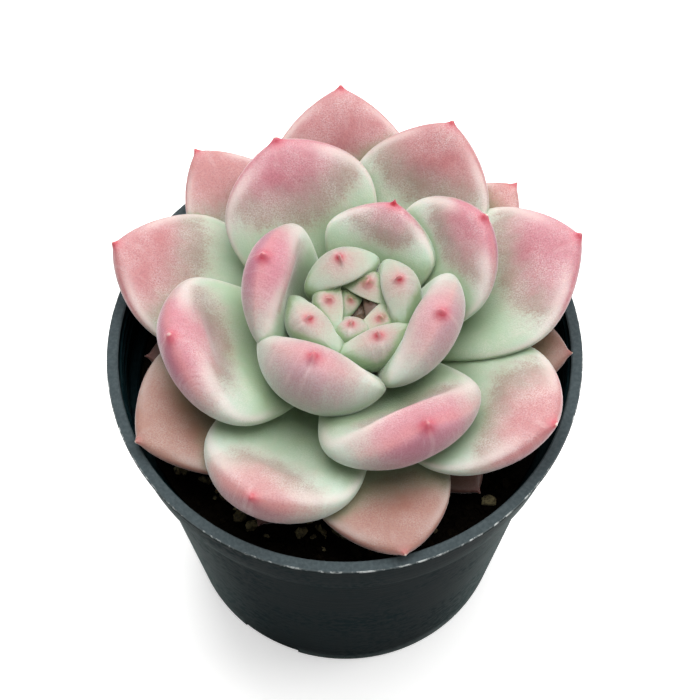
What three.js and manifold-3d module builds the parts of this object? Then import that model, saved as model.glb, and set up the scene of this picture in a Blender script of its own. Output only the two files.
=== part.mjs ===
// Potted crown echeveria: a rosette of plump leaves in a thin round plastic nursery pot.
// Millimetres, +Z up. The origin is the centre of the pot's foot on the ground, and the front is -Y.
import * as THREE from "three";
import { mergeVertices } from "three/addons/utils/BufferGeometryUtils.js";
import Module from "manifold-3d";

const wasm = await Module();
wasm.setup();

// Pot
const POT_HEIGHT = 88;
const RIM_RADIUS = 49.6;
const LIP_WIDTH = 2.4;
const LIP_THICKNESS = 1.1;
const SKIRT_DROP = 15;
const SKIRT_TOP_RADIUS = 48.8;
const SKIRT_FOOT_RADIUS = 47.1;
const WAIST_RADIUS = 45;
const BASE_RADIUS = 36.2;
const WALL = 1.1;
const LEDGE_Z = POT_HEIGHT - SKIRT_DROP + WALL;
const FLOOR = 1.6;
const SLOT_COUNT = 3;
const SLOT_WIDTH = 14;
const SLOT_HEIGHT = 2.5;

// Soil and the stem that stands in it
const SOIL_TOP = 73.4;
const SOIL_LUMP = 1.1;
const CHUNK_COUNT = 42;
const STEM_FOOT = new THREE.Vector3(-1.4, 5.9, 62);
const STEM_TOP = new THREE.Vector3(2.5, 3.3, 96);
const STEM_FOOT_RADIUS = 6;
const STEM_TOP_RADIUS = 2.4;

// Rosette: each leaf stands a golden angle further round than the one before it, and lower on the stem
const GOLDEN_ANGLE = 137.5;
const FIRST_AZIMUTH = 117.5;
const TOP_LEAF_HEIGHT = 94;
const LEAF_STEP = 16 / 26;
const GAP = 0.35;

// Leaf outline and section, as shares of the leaf's own length, half width and thickness
const WIDEST_AT = 0.62;
const NECK_WIDTH = 0.42;
const THICKEST_AT = 0.66;
const NECK_THICKNESS = 0.4;
const CHANNEL_DEPTH = 0.35;
const UNDERSIDE_BLUNTNESS = 2.8;
const CUPPING = 0.15;

const RINGS = { leaf: 11, heart: 9 };
const SIDES = { leaf: 14, heart: 10 };

const { sin, cos, sqrt, abs, sign, PI } = Math;
const clamp01 = (t) => Math.min(1, Math.max(0, t));
const radians = THREE.MathUtils.degToRad;
const mix = THREE.MathUtils.lerp;

// A seeded row of random numbers from 0 to 1
function seeded(seed) {
  let state = seed;
  return () => {
    state = (state * 16807) % 2147483647;
    return state / 2147483647;
  };
}

function solidOf(geometry) {
  const bare = new THREE.BufferGeometry();
  bare.setAttribute("position", geometry.getAttribute("position"));
  if (geometry.index) bare.setIndex(geometry.index);
  const merged = mergeVertices(bare, 1e-4);
  return new wasm.Manifold(
    new wasm.Mesh({
      numProp: 3,
      vertProperties: merged.attributes.position.array,
      triVerts: new Uint32Array(merged.index.array),
    }),
  );
}

function geometryOf(solid) {
  const mesh = solid.getMesh();
  const geometry = new THREE.BufferGeometry();
  geometry.setAttribute(
    "position",
    new THREE.BufferAttribute(new Float32Array(mesh.vertProperties), 3),
  );
  geometry.setIndex(new THREE.BufferAttribute(new Uint32Array(mesh.triVerts), 1));
  geometry.computeVertexNormals();
  return geometry;
}

function biggestBody(solid) {
  const bodies = solid.decompose();
  return bodies.reduce((a, b) => (b.volume() > a.volume() ? b : a));
}

// A lathe about +Z from rows of [radius, height]
function latheZ(rows, segments) {
  const profile = rows.map(([r, z]) => new THREE.Vector2(r, z));
  return new THREE.LatheGeometry(profile, segments).rotateX(PI / 2);
}

// The middle of the leaning stem at a height
function stemCentre(z) {
  const t = (z - STEM_FOOT.z) / (STEM_TOP.z - STEM_FOOT.z);
  return new THREE.Vector3().lerpVectors(STEM_FOOT, STEM_TOP, t);
}

function stemRadius(z) {
  const t = clamp01((z - STEM_FOOT.z) / (STEM_TOP.z - STEM_FOOT.z));
  return mix(STEM_FOOT_RADIUS, STEM_TOP_RADIUS, t);
}

// Half width along the leaf: a neck, a broad shoulder, then an end that tapers to a point or is round
function outline(s, taper) {
  if (s < WIDEST_AT) {
    const rise = sin((PI / 2) * (s / WIDEST_AT)) ** 1.4;
    return NECK_WIDTH + (1 - NECK_WIDTH) * rise;
  }
  const t = (s - WIDEST_AT) / (1 - WIDEST_AT);
  return (1 - t ** mix(2.2, 1.5, taper)) ** mix(0.7, 0.95, taper);
}

// Thickness along the leaf: plump towards the end. The blunter the nose, the later it closes.
function plumpness(s, blunt) {
  if (s < THICKEST_AT) {
    const rise = sin((PI / 2) * (s / THICKEST_AT)) ** 1.3;
    return NECK_THICKNESS + (1 - NECK_THICKNESS) * rise;
  }
  const t = (s - THICKEST_AT) / (1 - THICKEST_AT);
  return (1 - t ** blunt) ** 0.55;
}

// A leaf is a ball drawn out along a curve that leaves the stem at one slope and ends at another.
function leafGeometry(leaf, rings, sides) {
  const azimuth = radians(leaf.azimuth);
  const out = new THREE.Vector3(cos(azimuth), sin(azimuth), 0);
  const side = new THREE.Vector3(-sin(azimuth), cos(azimuth), 0);
  const up = new THREE.Vector3(0, 0, 1);
  const slope = (degrees) =>
    out.clone().multiplyScalar(cos(radians(degrees))).addScaledVector(up, sin(radians(degrees)));
  const centre = stemCentre(leaf.foot);
  const start = centre.clone().addScaledVector(out, leaf.root ?? stemRadius(leaf.foot) + GAP);
  const tip = centre.clone().addScaledVector(out, leaf.reach).setZ(leaf.tip);
  const length = tip.distanceTo(start);
  const midrib = new THREE.CubicBezierCurve3(
    start,
    start.clone().addScaledVector(slope(leaf.lift), 0.38 * length),
    tip.clone().addScaledVector(slope(leaf.curl), -0.34 * length),
    tip,
  );
  midrib.v1.addScaledVector(side, leaf.bow ?? 0);
  midrib.v2.addScaledVector(side, leaf.bow ?? 0);
  const half = leaf.width / 2;
  const geometry = new THREE.SphereGeometry(1, sides, rings);
  const points = geometry.getAttribute("position");
  const point = new THREE.Vector3();
  for (let i = 0; i < points.count; i++) {
    point.fromBufferAttribute(points, i);
    const s = clamp01((1 - point.y) / 2);
    const girth = sqrt(clamp01(1 - point.y * point.y));
    const across = girth > 1e-6 ? point.x / girth : 0;
    const above = girth > 1e-6 ? point.z / girth : 0;
    const root = sqrt(clamp01(1 - (1 - clamp01(s / 0.05)) ** 2));
    const x = sign(across) * abs(across) ** 0.9 * outline(s, leaf.taper) * root;
    let height = 0;
    if (above >= 0) {
      const hollow = Math.exp(-((x / 0.5) ** 2)) * clamp01(1 - (s / 0.8) ** 3);
      const dip = (leaf.dip ?? CHANNEL_DEPTH) * leaf.thick * hollow;
      const thick = leaf.thick * plumpness(s, leaf.blunt) * root;
      height = leaf.upper * thick * above ** leaf.keen - dip * root * above;
    } else {
      const thick = leaf.thick * plumpness(s, UNDERSIDE_BLUNTNESS) * root;
      height = -(1 - leaf.upper) * thick * (-above) ** leaf.keen;
    }
    height += CUPPING * x * x * half * (0.25 + 0.75 * sin(PI * 0.95 * s));
    const along = midrib.getTangent(s);
    const over = new THREE.Vector3().crossVectors(along, side);
    midrib.getPoint(s, point);
    point.addScaledVector(side, x * half);
    point.addScaledVector(over, height);
    points.setXYZ(i, point.x, point.y, point.z);
  }
  return geometry;
}

// The same leaf a little larger all round, to keep its neighbours off it
function grown(geometry, by) {
  const bare = new THREE.BufferGeometry();
  bare.setAttribute("position", geometry.getAttribute("position"));
  bare.setIndex(geometry.index);
  const merged = mergeVertices(bare, 1e-4);
  merged.computeVertexNormals();
  const points = merged.attributes.position;
  const normals = merged.attributes.normal;
  for (let i = 0; i < points.count; i++) {
    points.setXYZ(
      i,
      points.getX(i) + by * normals.getX(i),
      points.getY(i) + by * normals.getY(i),
      points.getZ(i) + by * normals.getZ(i),
    );
  }
  return merged;
}

// Inner radius of the pot's tapering wall at a height
function potInside(z) {
  const t = (z - FLOOR) / (LEDGE_Z - FLOOR);
  return mix(BASE_RADIUS - WALL, WAIST_RADIUS - WALL, t);
}

// Pot: up the outer wall and the skirt to the lip, then down the stepped inside to the floor
function potSolid(spare) {
  const lipInner = RIM_RADIUS - LIP_WIDTH;
  const skirtZ = POT_HEIGHT - SKIRT_DROP;
  return solidOf(
    latheZ(
      [
        [0, -spare],
        [BASE_RADIUS - 0.8, -spare],
        [BASE_RADIUS + spare, 0.8],
        [WAIST_RADIUS + spare, skirtZ - spare],
        [SKIRT_FOOT_RADIUS + spare, skirtZ - spare],
        [SKIRT_TOP_RADIUS + spare, POT_HEIGHT - LIP_THICKNESS - spare],
        [RIM_RADIUS + spare, POT_HEIGHT - LIP_THICKNESS - spare],
        [RIM_RADIUS + spare, POT_HEIGHT - 0.3],
        [RIM_RADIUS - 0.3 + spare, POT_HEIGHT + spare],
        [lipInner - spare, POT_HEIGHT + spare],
        [SKIRT_FOOT_RADIUS - WALL - spare, LEDGE_Z + spare],
        [potInside(LEDGE_Z) - spare, LEDGE_Z + spare],
        [potInside(FLOOR) - spare, FLOOR + spare],
        [0, FLOOR + spare],
      ],
      64,
    ),
  );
}

function pot() {
  let solid = potSolid(0);
  for (let i = 0; i < SLOT_COUNT; i++) {
    const slot = new THREE.BoxGeometry(9, SLOT_WIDTH, SLOT_HEIGHT * 2);
    slot.translate(BASE_RADIUS + 0.5, 0, 0);
    slot.rotateZ((i + 0.01) * ((2 * PI) / SLOT_COUNT));
    solid = solid.subtract(solidOf(slot));
  }
  return solid;
}

function stemSolid(spare) {
  const rows = [[0, STEM_FOOT.z - spare]];
  for (let i = 0; i <= 4; i++) {
    const z = mix(STEM_FOOT.z, STEM_TOP.z, i / 4);
    rows.push([stemRadius(z) + spare, i === 0 ? z - spare : z]);
  }
  rows.push([0, STEM_TOP.z + 1.2]);
  const geometry = latheZ(rows, 20);
  const points = geometry.getAttribute("position");
  for (let i = 0; i < points.count; i++) {
    const centre = stemCentre(points.getZ(i));
    points.setXY(i, points.getX(i) + centre.x, points.getY(i) + centre.y);
  }
  return solidOf(geometry);
}

// Soil: it fills the pot to a lumpy top, with grains of grit and bark half sunk in it
function soil() {
  const side = (z) => potInside(z) - 0.4;
  const rings = 9;
  const rows = [
    [0, FLOOR + 0.3],
    [side(FLOOR), FLOOR + 0.3],
  ];
  for (let i = rings; i >= 0; i--) rows.push([(side(SOIL_TOP) * i) / rings, SOIL_TOP]);
  const geometry = latheZ(rows, 40);
  const points = geometry.getAttribute("position");
  for (let i = 0; i < points.count; i++) {
    const x = points.getX(i);
    const y = points.getY(i);
    if (points.getZ(i) < SOIL_TOP - 1) continue;
    const lump = sin(0.37 * x + 1) * cos(0.31 * y) + 0.6 * sin(0.83 * y + 0.6 * x);
    points.setZ(i, SOIL_TOP + SOIL_LUMP * lump);
  }
  let solid = solidOf(geometry);
  const random = seeded(11);
  for (let i = 0; i < CHUNK_COUNT; i++) {
    const chunk = new THREE.IcosahedronGeometry(mix(1, 2.1, random()), 0);
    chunk.scale(1, mix(0.6, 1, random()), mix(0.6, 0.9, random()));
    chunk.rotateZ(2 * PI * random());
    const angle = 2 * PI * random();
    const radius = mix(14, side(SOIL_TOP) - 2.6, sqrt(random()));
    chunk.translate(radius * cos(angle), radius * sin(angle), SOIL_TOP + 0.5);
    solid = solid.add(solidOf(chunk));
  }
  return biggestBody(solid.subtract(stemSolid(0.3)));
}

// Leaves by ring. Lift and curl are the slopes in degrees at the foot and at the tip. Upper is the share
// of the thickness above the midrib. Keen above 1 gives a lens-shaped section. Blunt and taper shape the end.
const CROWN = { thick: 8.5, lift: 55, curl: 106, upper: 0.62, keen: 1.4, blunt: 6, taper: 0.3 };
const CUP = { thick: 10.5, lift: 34, curl: 92, upper: 0.54, keen: 1.25, blunt: 4.5, taper: 0.2 };
const BOWL = { thick: 10, lift: 18, curl: 75, upper: 0.48, keen: 1.05, blunt: 3.6, taper: 0.1 };
const FLAT = { upper: 0.42, keen: 0.95, blunt: 2.8, taper: 0.4 };
const SKIRT = { ...FLAT, thick: 9, lift: 10, curl: 40 };
const LOW = { ...FLAT, thick: 6.5, lift: 5, curl: 20 };
const SHADED = { ...FLAT, thick: 5, lift: 0, curl: 10 };
const OPEN = { upper: 0.42, keen: 1, blunt: 2.4, taper: 0.5, dip: 0.2 };

// Turn is degrees off the spiral, reach is from the stem to the tip, above is the tip over the lip.
// Bow pushes the middle of a leaf sideways, and dip is the depth of the channel along its upper face.
const LEAVES = [
  { ...CROWN, turn: -2, reach: 7.8, above: 21, width: 17 },
  { ...CROWN, turn: 7, reach: 6.1, above: 17, width: 13, thick: 7, upper: 0.42 },
  { ...CROWN, turn: -20, reach: 9.2, above: 21, width: 17, bow: -1, upper: 0.5 },
  { ...CROWN, turn: 48, reach: 11.6, above: 21, width: 18, upper: 0.5 },
  { ...CROWN, turn: -13, reach: 11.5, above: 20, width: 20, upper: 0.42 },
  { ...CUP, ...OPEN, turn: -17.5, reach: 21.6, above: 20.2, width: 24, thick: 6.5, lift: 40, curl: 55 },
  { ...CUP, turn: 23, reach: 19, above: 24, width: 28, thick: 13, lift: 5, curl: 100, upper: 0.38 },
  { ...CUP, turn: -25, reach: 19.5, above: 25, width: 28, bow: -1.2 },
  { ...CUP, turn: 28, reach: 18.6, above: 25, width: 29, bow: 1.5 },
  { ...BOWL, turn: 21, reach: 33.5, above: 19, width: 34, thick: 12, curl: 96, bow: -3, upper: 0.55 },
  {
    ...BOWL, turn: -25, reach: 30.5, above: 24, width: 28, thick: 8, lift: 30, curl: 60,
    blunt: 2.8, dip: 0.25,
  },
  { ...BOWL, turn: 7, reach: 38, above: 20, width: 35, thick: 11, bow: 2 },
  { ...SKIRT, turn: -1, reach: 48.5, above: 12, width: 34, lift: -3, curl: 35, bow: -3, taper: 0 },
  { ...BOWL, turn: 10, reach: 37, above: 22, width: 33, thick: 8, curl: 50, blunt: 2.6, dip: 0.25 },
  { ...SKIRT, turn: 3, reach: 47, above: 12, width: 33, thick: 11, curl: 60, bow: 0.8, taper: 0 },
  {
    ...BOWL, turn: -4, reach: 49, above: 17, width: 33, thick: 8, lift: 22, curl: 42, bow: -2,
    blunt: 2.6, taper: 0.4, dip: 0.25,
  },
  { ...SKIRT, turn: 6, reach: 51, above: 12, width: 31, thick: 8 },
  { ...LOW, turn: -13, reach: 52, above: 3, width: 29, thick: 7, bow: -2, taper: 0.2 },
  { ...SKIRT, turn: -11, reach: 45, above: 19, width: 31, thick: 8, curl: 48 },
  { ...LOW, turn: 2, reach: 50.5, above: 3.5, width: 33, thick: 7 },
  { ...LOW, turn: 4, reach: 46, above: 3.5, width: 24 },
  { ...LOW, turn: 5, reach: 50.5, above: 9, width: 25, curl: 28 },
  { ...SHADED, turn: -16, reach: 45, above: -5, width: 20 },
  { ...LOW, turn: 1, reach: 47, above: 8, width: 22, curl: 28 },
  { ...SHADED, turn: 7, reach: 42, above: -5, width: 20 },
  { ...SHADED, turn: -7, reach: 43.5, above: -5, width: 18 },
  { ...SKIRT, turn: -1, reach: 51.3, above: 14, width: 32, thick: 7, curl: 38 },
].map((leaf, n) => ({
  ...leaf,
  azimuth: FIRST_AZIMUTH + GOLDEN_ANGLE * n + leaf.turn,
  foot: TOP_LEAF_HEIGHT - LEAF_STEP * n,
  tip: POT_HEIGHT + leaf.above,
}));

// Heart: the youngest leaves carry the spiral on inwards, round a bud at the top of the stem
const HEART_LEAVES = [
  { n: -1, turn: -22, reach: 6.3, above: 16.5, width: 15 },
  { n: -2, turn: -17, reach: 5.9, above: 17.5, width: 16 },
  { n: -3, turn: -4, reach: 4.2, above: 17, width: 17 },
  { n: -4, turn: 0, reach: 2.6, above: 13, width: 8 },
  { n: -5, turn: -1, reach: 1.8, above: 15, width: 12 },
  { n: -6, turn: -8, reach: 2.8, above: 14.5, width: 8 },
].map((leaf) => ({
  ...CROWN,
  ...leaf,
  upper: 0.45,
  thick: 0.42 * leaf.width,
  lift: 60,
  root: 1.6,
  azimuth: FIRST_AZIMUTH + GOLDEN_ANGLE * leaf.n + leaf.turn,
  foot: STEM_TOP.z + 0.8 - 0.3 * leaf.n,
  tip: POT_HEIGHT + leaf.above,
}));

function heart() {
  const centre = stemCentre(STEM_TOP.z + 2);
  const bud = new THREE.SphereGeometry(1, 12, 8).rotateX(PI / 2).scale(3.4, 3.4, 2.6);
  bud.translate(centre.x, centre.y, centre.z);
  let solid = solidOf(bud);
  for (const leaf of HEART_LEAVES)
    solid = solid.add(solidOf(leafGeometry(leaf, RINGS.heart, SIDES.heart)));
  return biggestBody(solid.subtract(stemSolid(0.3)));
}

const group = new THREE.Group();
group.name = "potted_echeveria";

function addNode(name, solid, color, roughness) {
  const material = new THREE.MeshStandardMaterial({ color, roughness, metalness: 0 });
  const mesh = new THREE.Mesh(geometryOf(solid), material);
  mesh.name = name;
  group.add(mesh);
}

addNode("pot", pot(), 0x1f2a2a, 0.55);
addNode("soil", soil(), 0x2b211a, 0.95);
addNode("stem", stemSolid(0), 0x8a7a5c, 0.8);

const heartSolid = heart();
addNode("heart", heartSolid, 0xc3cfae, 0.6);

// Each leaf is pressed against the younger ones above it and against the rim below it.
const potRoom = potSolid(GAP);
const stemRoom = stemSolid(GAP - 0.05);
const heartRoom = solidOf(grown(geometryOf(heartSolid), GAP));
const younger = [];
LEAVES.forEach((leaf, n) => {
  const shape = leafGeometry(leaf, RINGS.leaf, SIDES.leaf);
  let solid = solidOf(shape).subtract(potRoom).subtract(stemRoom).subtract(heartRoom);
  for (const other of younger) solid = solid.subtract(other);
  solid = biggestBody(solid);
  younger.push(solidOf(grown(shape, GAP)));
  const pink = n < 9 ? 0xd9c3b8 : 0xdcaaa4;
  addNode("leaf_" + String(n + 1).padStart(2, "0"), solid, pink, 0.55);
});

export default group;
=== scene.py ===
# %% [markdown]
# # Potted crown echeveria
# A rosette of plump, powdery leaves sits in a thin plastic nursery pot. The solids of the part come in
# first as a fixed frame. Every piece made below lies in that frame, in metres, and stands for one of
# its solids, so the plant keeps the size and place that the solids give it.

# %% Load the frame
import math
import random

import bmesh
import bpy
from mathutils import Matrix, Vector, noise
from mathutils.bvhtree import BVHTree


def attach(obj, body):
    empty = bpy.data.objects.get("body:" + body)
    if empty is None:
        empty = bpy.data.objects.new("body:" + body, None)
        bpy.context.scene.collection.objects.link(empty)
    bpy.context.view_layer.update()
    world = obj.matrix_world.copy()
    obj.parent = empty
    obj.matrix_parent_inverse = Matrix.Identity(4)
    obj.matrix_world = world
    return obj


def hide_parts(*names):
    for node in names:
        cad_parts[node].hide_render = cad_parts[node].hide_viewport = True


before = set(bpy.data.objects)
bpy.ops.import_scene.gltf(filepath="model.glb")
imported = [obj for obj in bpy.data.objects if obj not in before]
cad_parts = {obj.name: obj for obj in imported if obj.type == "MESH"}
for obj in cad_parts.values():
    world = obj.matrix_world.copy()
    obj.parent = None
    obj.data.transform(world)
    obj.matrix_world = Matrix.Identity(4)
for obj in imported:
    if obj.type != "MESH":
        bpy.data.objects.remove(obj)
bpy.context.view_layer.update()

# %% [markdown]
# ## Camera
# The photo looks down at the pot from the front, about 63 degrees above the table, through a fairly
# long lens. The camera aims at the middle of the pot's lip, because the lip is a circle of known size
# and its ellipse in the photo fixes the angle and the distance.

# %% Place the camera
MM = 0.001
POT_HEIGHT = 88
RIM_RADIUS = 49.6
CAMERA_ELEVATION = 62.8
CAMERA_DISTANCE = 500
CAMERA_SIDE = 1.1
CAMERA_RISE = 0.15
SENSOR_WIDTH = 36
PHOTO_WIDTH = 700
FOCAL_PIXELS = 2400
LENS = FOCAL_PIXELS / PHOTO_WIDTH * SENSOR_WIDTH

tilt = math.radians(CAMERA_ELEVATION)
towards_viewer = Vector((0, -math.cos(tilt), math.sin(tilt)))
picture_up = Vector((0, math.sin(tilt), math.cos(tilt)))
aim = Vector((CAMERA_SIDE, 0, POT_HEIGHT)) + CAMERA_RISE * picture_up
eye = aim + CAMERA_DISTANCE * towards_viewer

camera = bpy.data.objects.new("camera", bpy.data.cameras.new("camera"))
camera.data.lens = LENS
camera.data.sensor_width = SENSOR_WIDTH
camera.location = eye * MM
camera.rotation_euler = (math.radians(90 - CAMERA_ELEVATION), 0, 0)
bpy.context.scene.collection.objects.link(camera)
bpy.context.scene.camera = camera
print("camera at", [round(v, 3) for v in camera.location], "lens", round(LENS, 1))

# %% [markdown]
# ## Light and floor
# The photo is a bright one on a white sweep with hardly any shadow. A pale world lights everything
# evenly, and a wide lamp overhead gives the soft highlights on the leaves. One from behind lights the
# leaves' turned edges, and one from the right gives the pot its pale side.


# %% Lamps, world and view
LIT_POINT = Vector((0, 0, 0.09))
WORLD_STRENGTH = 0.35


def lamp(name, size, power, place):
    """A round lamp, sizes in metres and power in watts, that faces the plant."""
    data = bpy.data.lights.new(name, "AREA")
    data.shape = "DISK"
    data.size = size
    data.energy = power
    holder = bpy.data.objects.new(name, data)
    holder.location = place
    holder.rotation_euler = (Vector(place) - LIT_POINT).to_track_quat("Z", "Y").to_euler()
    bpy.context.scene.collection.objects.link(holder)
    print("lamp", name, power, "W")


lamp("overhead", 0.8, 9.2, (0.05, 0.14, 0.94))
lamp("back_window", 0.5, 2.6, (-0.15, 0.60, 0.55))
lamp("right_window", 0.45, 1.8, (0.70, 0.05, 0.45))

world = bpy.data.worlds.new("pale_room")
world.use_nodes = True
world.node_tree.nodes["Background"].inputs["Color"].default_value = (1, 1, 1, 1)
world.node_tree.nodes["Background"].inputs["Strength"].default_value = WORLD_STRENGTH
bpy.context.scene.world = world
bpy.context.scene.view_settings.view_transform = "Standard"

# %% [markdown]
# ## Small helpers
# Each piece is a bmesh that is turned into a mesh object at the origin. Colours are written as they
# look on a screen and turned into the linear numbers that the renderer works in.


# %% Helpers for pieces and colours
def screen_color(text):
    """A colour code as it looks on a screen, made linear."""
    values = [int(text[i : i + 2], 16) / 255 for i in (0, 2, 4)]
    linear = [v / 12.92 if v <= 0.04045 else ((v + 0.055) / 1.055) ** 2.4 for v in values]
    return (*linear, 1)


def piece_from(bm, name, material, smooth=True):
    """The bmesh as an object at the origin, in one material."""
    mesh = bpy.data.meshes.new(name)
    bm.to_mesh(mesh)
    bm.free()
    mesh.materials.append(material)
    for face in mesh.polygons:
        face.use_smooth = smooth
    piece = bpy.data.objects.new(name, mesh)
    bpy.context.scene.collection.objects.link(piece)
    return piece


def clamp01(value):
    """The value held between 0 and 1."""
    return min(1.0, max(0.0, value))


def mix(a, b, t):
    """The value that lies the share t of the way from a to b."""
    return a + (b - a) * t


print("the red of a leaf's point is", [round(v, 2) for v in screen_color("b01f30")])

# %% [markdown]
# A finish is a material made of nodes. Most of its masks come about in the same way, from a noise or
# from a number on the points, by way of a soft step. So each helper adds one or two nodes and joins
# them up, and the cells further down can be read like a recipe.


# %% Helpers for materials
class Finish:
    """A material with its Principled shader and short ways to add and join nodes."""

    def __init__(self, name):
        self.material = bpy.data.materials.new(name)
        self.material.use_nodes = True
        self.tree = self.material.node_tree
        self.shader = self.tree.nodes["Principled BSDF"]

    def add(self, kind, **settings):
        node = self.tree.nodes.new(kind)
        for key, value in settings.items():
            setattr(node, key, value)
        return node

    def join(self, source, target):
        self.tree.links.new(source, target)

    def fix(self, values):
        """Constant values for the shader's own sockets."""
        for name, value in values.items():
            self.shader.inputs[name].default_value = value

    def attribute(self, name):
        return self.add("ShaderNodeAttribute", attribute_name=name).outputs["Fac"]

    def noise(self, vector, scale, detail=3, roughness=0.55):
        node = self.add("ShaderNodeTexNoise")
        node.inputs["Scale"].default_value = scale
        node.inputs["Detail"].default_value = detail
        node.inputs["Roughness"].default_value = roughness
        self.join(vector, node.inputs["Vector"])
        return node.outputs["Fac"]

    def span(self, value, low, high, to_low=0.0, to_high=1.0):
        """A soft step from to_low, below low, to to_high, above high."""
        node = self.add("ShaderNodeMapRange", interpolation_type="SMOOTHSTEP")
        for key, number in zip(
            ("From Min", "From Max", "To Min", "To Max"), (low, high, to_low, to_high)
        ):
            node.inputs[key].default_value = number
        self.join(value, node.inputs["Value"])
        return node.outputs["Result"]

    def hump(self, value, start, top, fall, end):
        """A mask that rises from start to top and goes down again from fall to end."""
        return self.times(self.span(value, start, top), self.span(value, fall, end, 1.0, 0.0))

    def math(self, operation, a, b=None):
        node = self.add("ShaderNodeMath", operation=operation)
        for socket, value in zip(node.inputs, (a, b)):
            if isinstance(value, (int, float)):
                socket.default_value = value
            elif value is not None:
                self.join(value, socket)
        return node.outputs["Value"]

    def times(self, first, *others):
        for other in others:
            first = self.math("MULTIPLY", first, other)
        return first

    def blend(self, share, a, b):
        node = self.add("ShaderNodeMix", data_type="RGBA")
        for socket, value in ((node.inputs[0], share), (node.inputs[6], a), (node.inputs[7], b)):
            if isinstance(value, (int, float, tuple)):
                socket.default_value = value
            else:
                self.join(value, socket)
        return node.outputs[2]

    def paint(self, share, under, text):
        """A screen colour laid over another colour, as thickly as the share says."""
        return self.blend(share, under, screen_color(text))

    def bump(self, height, strength, distance):
        node = self.add("ShaderNodeBump")
        node.inputs["Strength"].default_value = strength
        node.inputs["Distance"].default_value = distance
        self.join(height, node.inputs["Height"])
        self.join(node.outputs["Normal"], self.shader.inputs["Normal"])


print("a finish can", ", ".join(name for name in vars(Finish) if not name.startswith("_")))

# %% [markdown]
# ## The floor
# A plain pale board under the pot. It isn't part of the object. The photo's paper is lit so strongly
# that it shows no edge, and a little glow that only the camera sees gives the board that same look
# without any light of its own on the pot.

# %% Floor
PAPER_HALF = 1.6
PAPER_GLOW = 0.46
paper = Finish("floor_white")
paper.fix({"Base Color": screen_color("f4f4f3"), "Roughness": 0.95, "Specular IOR Level": 0.1})
paper.fix({"Emission Color": (1, 1, 1, 1)})
seen = paper.add("ShaderNodeLightPath").outputs["Is Camera Ray"]
paper.join(paper.times(seen, PAPER_GLOW), paper.shader.inputs["Emission Strength"])
bm = bmesh.new()
bmesh.ops.create_grid(bm, x_segments=1, y_segments=1, size=PAPER_HALF)
floor = piece_from(bm, "floor", paper.material, smooth=False)
print("floor is", round(floor.dimensions.x, 2), "m wide")

# %% [markdown]
# ## Powder as a shared effect
# Three finishes here carry a dusty film: the leaves have their natural bloom, the pot has dried water
# and dust, and the soil has pale grit dust. They share one node group, which gives a mask from big
# soft blotches broken up by fine grain. Each material sets its own scales and amount.


# %% The powder group
def powder_group():
    group = bpy.data.node_groups.new("powder", "ShaderNodeTree")
    for name, kind, start in (
        ("Vector", "NodeSocketVector", None),
        ("Blotch Scale", "NodeSocketFloat", 60.0),
        ("Grain Scale", "NodeSocketFloat", 1500.0),
        ("Amount", "NodeSocketFloat", 0.5),
    ):
        socket = group.interface.new_socket(name, in_out="INPUT", socket_type=kind)
        if start is not None:
            socket.default_value = start
    group.interface.new_socket("Mask", in_out="OUTPUT", socket_type="NodeSocketFloat")
    nodes, links = group.nodes, group.links
    source, sink = nodes.new("NodeGroupInput"), nodes.new("NodeGroupOutput")
    blotch, grain = nodes.new("ShaderNodeTexNoise"), nodes.new("ShaderNodeTexNoise")
    blotch.inputs["Detail"].default_value = 4
    grain.inputs["Detail"].default_value = 2
    for texture, scale in ((blotch, "Blotch Scale"), (grain, "Grain Scale")):
        links.new(source.outputs["Vector"], texture.inputs["Vector"])
        links.new(source.outputs[scale], texture.inputs["Scale"])
    soft, sharp = nodes.new("ShaderNodeMapRange"), nodes.new("ShaderNodeMapRange")
    soft.inputs["From Min"].default_value, soft.inputs["From Max"].default_value = 0.35, 0.68
    sharp.inputs["From Min"].default_value, sharp.inputs["From Max"].default_value = 0.38, 0.64
    links.new(blotch.outputs["Fac"], soft.inputs["Value"])
    links.new(grain.outputs["Fac"], sharp.inputs["Value"])
    together, amount = nodes.new("ShaderNodeMath"), nodes.new("ShaderNodeMath")
    together.operation = amount.operation = "MULTIPLY"
    links.new(soft.outputs["Result"], together.inputs[0])
    links.new(sharp.outputs["Result"], together.inputs[1])
    links.new(together.outputs[0], amount.inputs[0])
    links.new(source.outputs["Amount"], amount.inputs[1])
    links.new(amount.outputs[0], sink.inputs["Mask"])
    return group


POWDER = powder_group()
print("powder group has", len(POWDER.nodes), "nodes")


# %% Put the powder into a finish
def powder(finish, vector, blotch, grain, amount):
    node = finish.add("ShaderNodeGroup", node_tree=POWDER)
    node.inputs["Blotch Scale"].default_value = blotch
    node.inputs["Grain Scale"].default_value = grain
    node.inputs["Amount"].default_value = amount
    finish.join(vector, node.inputs["Vector"])
    return node.outputs["Mask"]


# %% [markdown]
# ## Leaf skin
# A leaf is mint green at its foot and turns rose towards the end, with a red point. So each leaf carries
# numbers on its points: how far along it a point lies, how far the skin has rolled from the upper face
# over the edge to the underside, how far off the sharp point is and how near to it the red reaches, how
# pink the whole leaf is, how old and how deep in shade it is, as one number that also paints shade, and
# how much of its sky the other leaves cover.

# %% Leaf skin patterns
SKIN_LAYERS = ("along", "roll", "far", "blush", "elder", "point", "nook")
skin = Finish("leaf_skin")
skin_place = skin.add("ShaderNodeTexCoord").outputs["Object"]
skin_map = skin.add("ShaderNodeUVMap", uv_map="skin").outputs["UV"]
stretch = skin.add("ShaderNodeMapping")
stretch.inputs["Scale"].default_value = (1.0, 0.30, 1.0)
skin.join(skin_map, stretch.inputs["Vector"])
along, roll, far, blush, elder, point, nook = (skin.attribute(name) for name in SKIN_LAYERS)

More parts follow.
